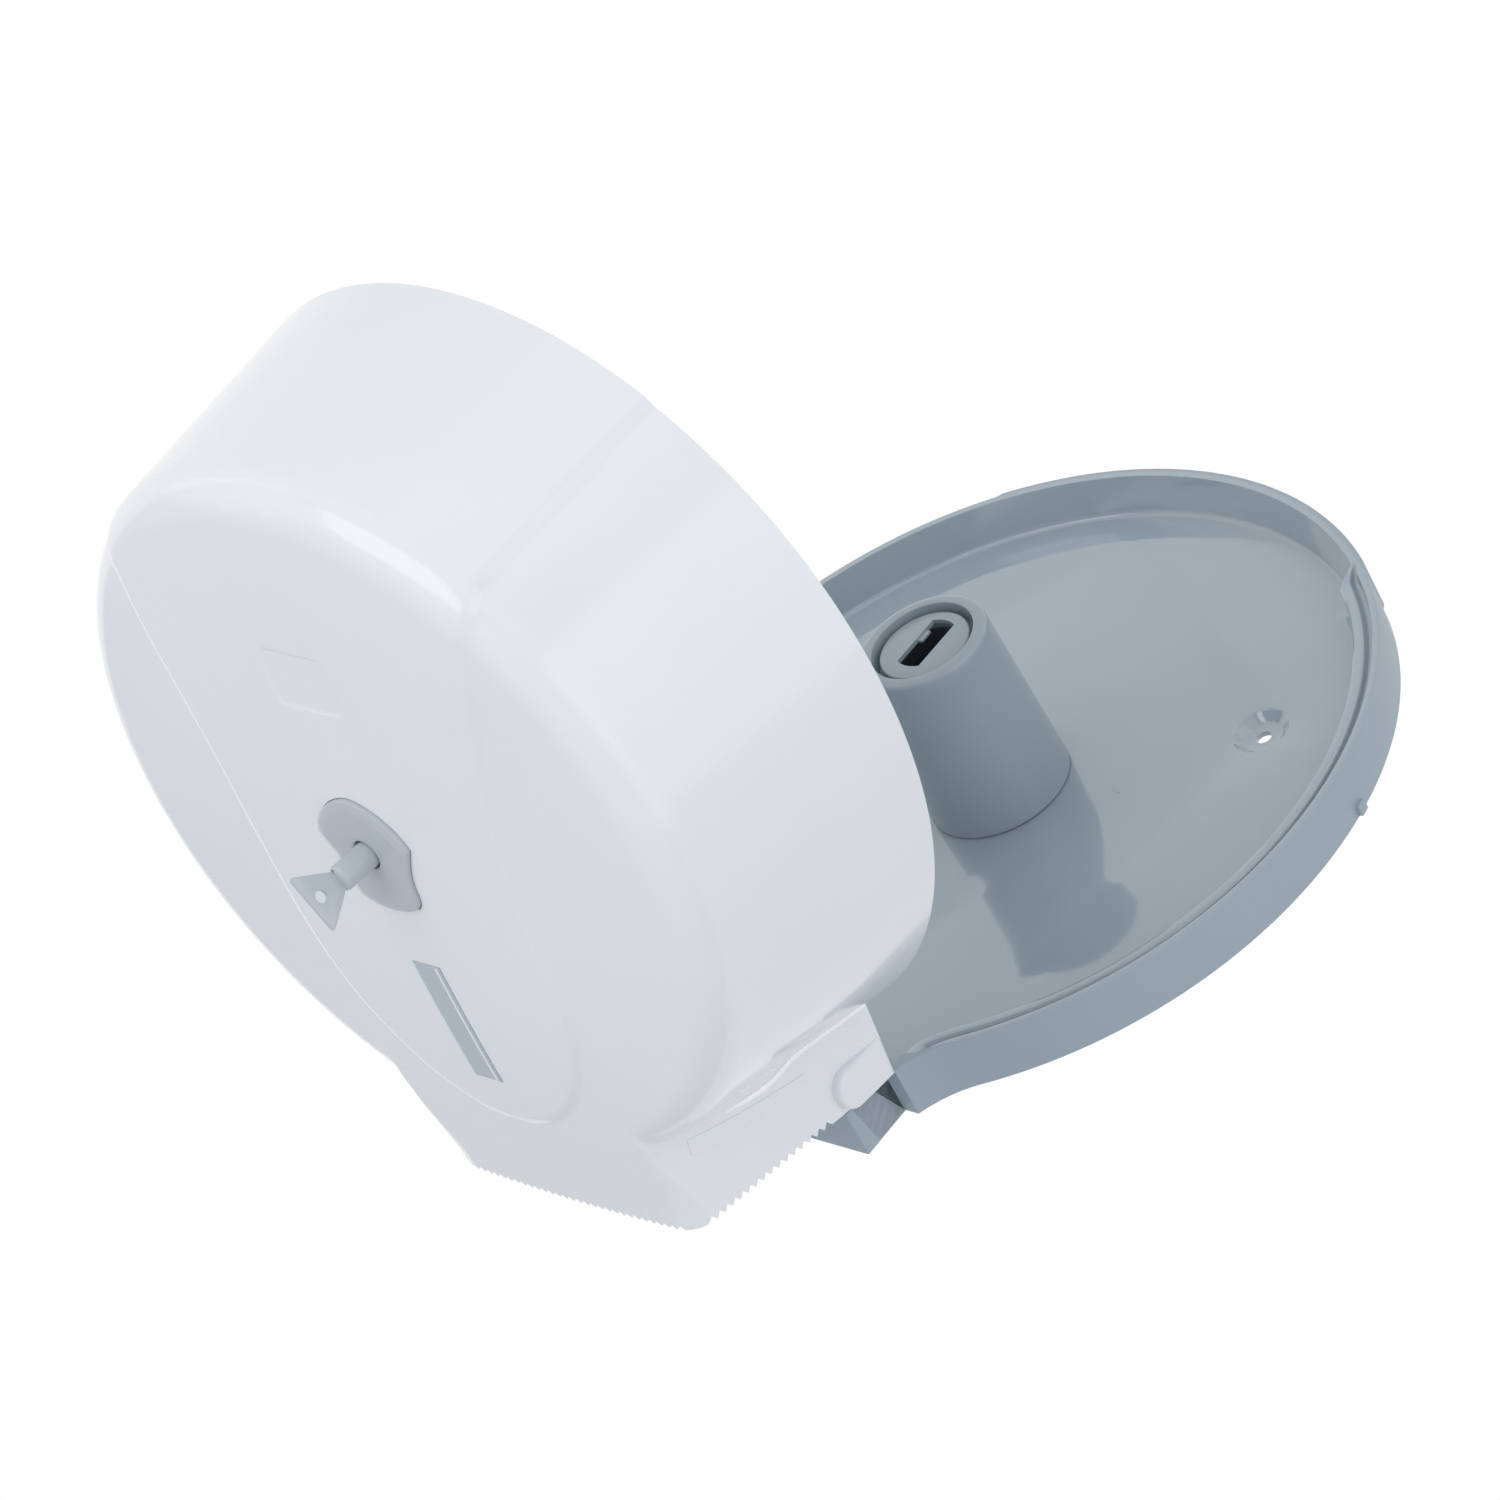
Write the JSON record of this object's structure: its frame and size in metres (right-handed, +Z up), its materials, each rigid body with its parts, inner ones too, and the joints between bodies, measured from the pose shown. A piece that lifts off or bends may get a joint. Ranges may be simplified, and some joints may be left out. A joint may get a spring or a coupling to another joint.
{
  "type": "jumbo toilet roll dispenser",
  "caption": "Round lockable wall dispenser for a jumbo toilet roll, shown open: domed white cover swung down from a grey back plate with a spindle, key in its lock.",
  "frame": {"origin": "on the wall plane, on the axis of the roll spindle", "axes": "+X to the right as seen from the room, +Y into the wall, +Z up"},
  "size_m": [0.27, 0.2997, 0.3711],
  "materials": {
    "cover_white": "glossy moulded ABS",
    "plate_grey": "glossy moulded ABS",
    "spindle_grey": "satin moulded plastic",
    "lock_grey": "satin moulded plastic",
    "lock_dark": "moulded plastic",
    "window_smoke": "translucent smoked plastic",
    "pin_steel": "bright drawn steel",
    "screw_zinc": "zinc plated"
  },
  "bodies": {
    "back": {"back_plate": "plate_grey", "spindle_post": "spindle_grey", "keeper_disc": "lock_grey", "post_screw_1": "screw_zinc", "post_screw_2": "screw_zinc", "post_screw_3": "screw_zinc"},
    "sleeve": {"roll_sleeve": "spindle_grey"},
    "cover": {"cover_shell": "cover_white", "hinge_pin_left": "pin_steel", "hinge_pin_right": "pin_steel", "level_window": "window_smoke", "lock_shield": "lock_grey", "lock_housing": "spindle_grey", "housing_screw_left": "screw_zinc", "housing_screw_right": "screw_zinc"},
    "lock": {"lock_barrel": "lock_dark", "latch_shaft": "pin_steel", "latch_clip": "pin_steel", "latch_bar": "screw_zinc", "latch_screw": "screw_zinc"},
    "key": {"key": "lock_grey"}
  },
  "joints": [
    {"name": "sleeve_spin", "type": "hinge", "parent": "back", "child": "sleeve", "pos_m": [0, -0.037, 0], "axis": [0, -1, 0], "continuous": true},
    {"name": "cover_hinge", "type": "hinge", "parent": "back", "child": "cover", "pos_m": [0, -0.0302, -0.1366], "axis": [1, 0, 0], "range_deg": [-83.28, 0]},
    {"name": "lock_turn", "type": "hinge", "parent": "cover", "child": "lock", "pos_m": [0, -0.17379, -0.18797], "axis": [0, -0.1169, -0.9931], "range_deg": [0, 90]},
    {"name": "key_slide", "type": "slide", "parent": "lock", "child": "key", "axis": [0, -0.1169, -0.9931], "range_m": [0, 0.03]}
  ]
}
